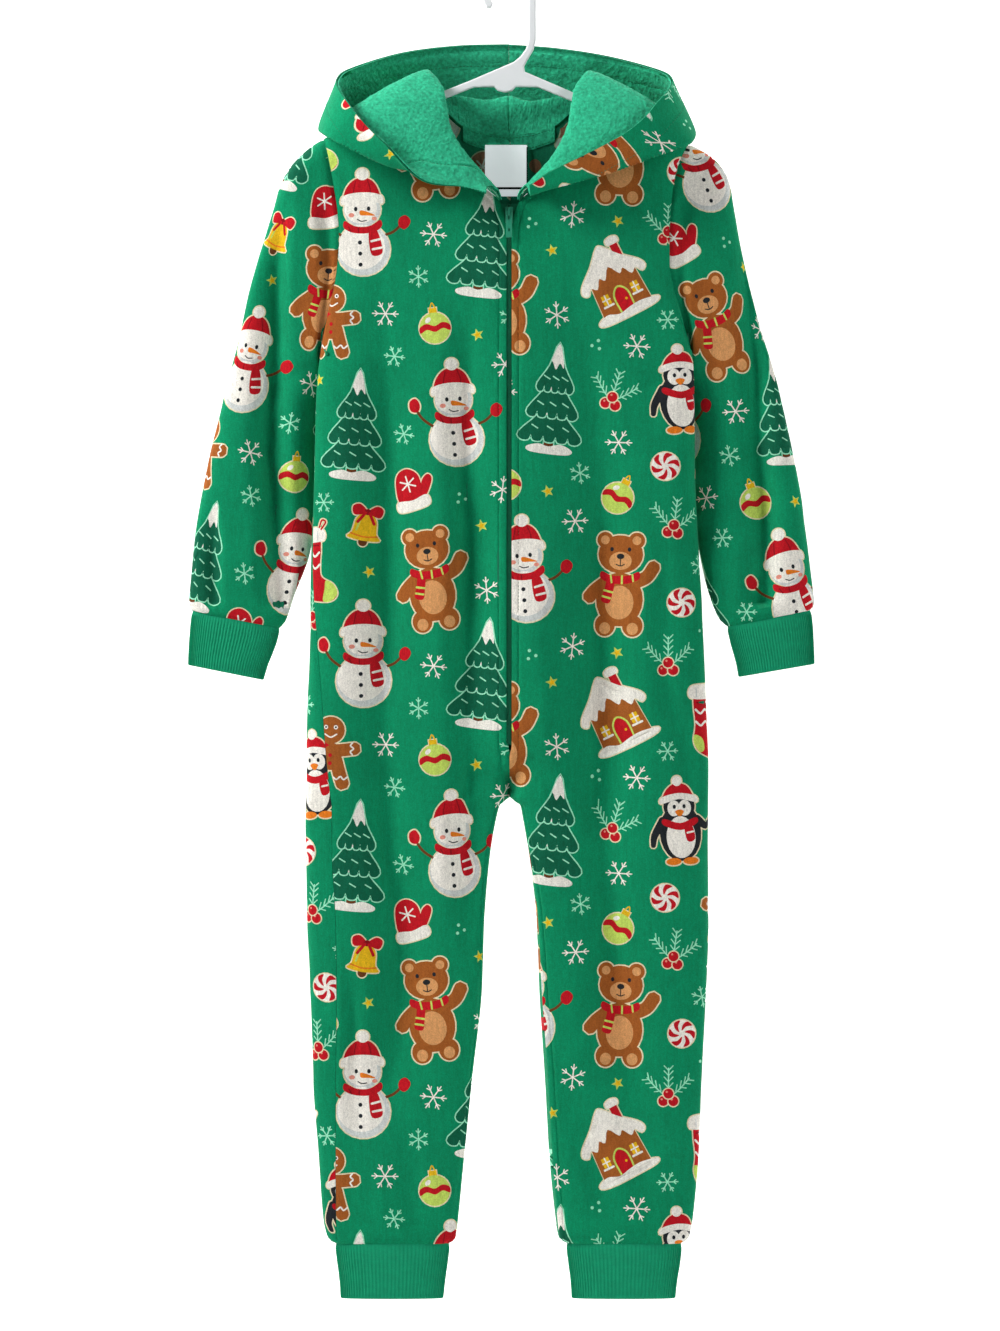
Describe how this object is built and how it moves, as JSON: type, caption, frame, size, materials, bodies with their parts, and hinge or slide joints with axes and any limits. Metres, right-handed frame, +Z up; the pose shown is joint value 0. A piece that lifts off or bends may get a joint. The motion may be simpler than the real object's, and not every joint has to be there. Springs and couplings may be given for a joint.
{
  "type": "hooded onesie pajama on a hanger",
  "caption": "Child's hooded one-piece fleece pajama with a zipped front, long sleeves and legs with knit cuffs, hanging open at the neck on a moulded plastic hanger.",
  "frame": {"origin": "inner crown of the hanger's hook, where it rests on a rod", "axes": "+Z up, -Y is the garment's front, +X is the wearer's left; the rod runs along Y"},
  "size_m": [0.627, 0.1497, 1.3324],
  "materials": {
    "printed_fleece": "brushed fleece, green ground with a small winter print",
    "rib_knit": "fine rib knit, plain green",
    "pile_fleece": "high-pile fleece, plain green",
    "neck_tape": "knit tape, plain green",
    "label": "smooth woven, white",
    "zip_tape": "woven tape, dark green",
    "zip_coil": "moulded coil, dark green",
    "zip_metal": "green enamel",
    "hanger": "white, satin"
  },
  "bodies": {
    "root": {"front_right": "printed_fleece", "front_left": "printed_fleece", "back_right": "printed_fleece", "back_left": "printed_fleece", "sleeve_right": "printed_fleece", "sleeve_left": "printed_fleece", "sleeve_cuff_right": "rib_knit", "sleeve_cuff_left": "rib_knit", "leg_cuff_right": "rib_knit", "leg_cuff_left": "rib_knit", "hood_outer_right": "printed_fleece", "hood_outer_left": "printed_fleece", "hood_lining_right": "pile_fleece", "hood_lining_left": "pile_fleece", "neck_tape": "neck_tape", "neck_label": "label", "zip_tape": "zip_tape", "zip_coil": "zip_coil", "zip_slider": "zip_metal", "hanger": "hanger"},
    "pull_tab": {"pull_tab": "zip_metal"}
  },
  "joints": [
    {"name": "pull_hinge", "type": "hinge", "parent": "root", "child": "pull_tab", "pos_m": [0, -0.03109, -0.2406], "axis": [-1, 0, 0], "range_deg": [0, 150]}
  ]
}
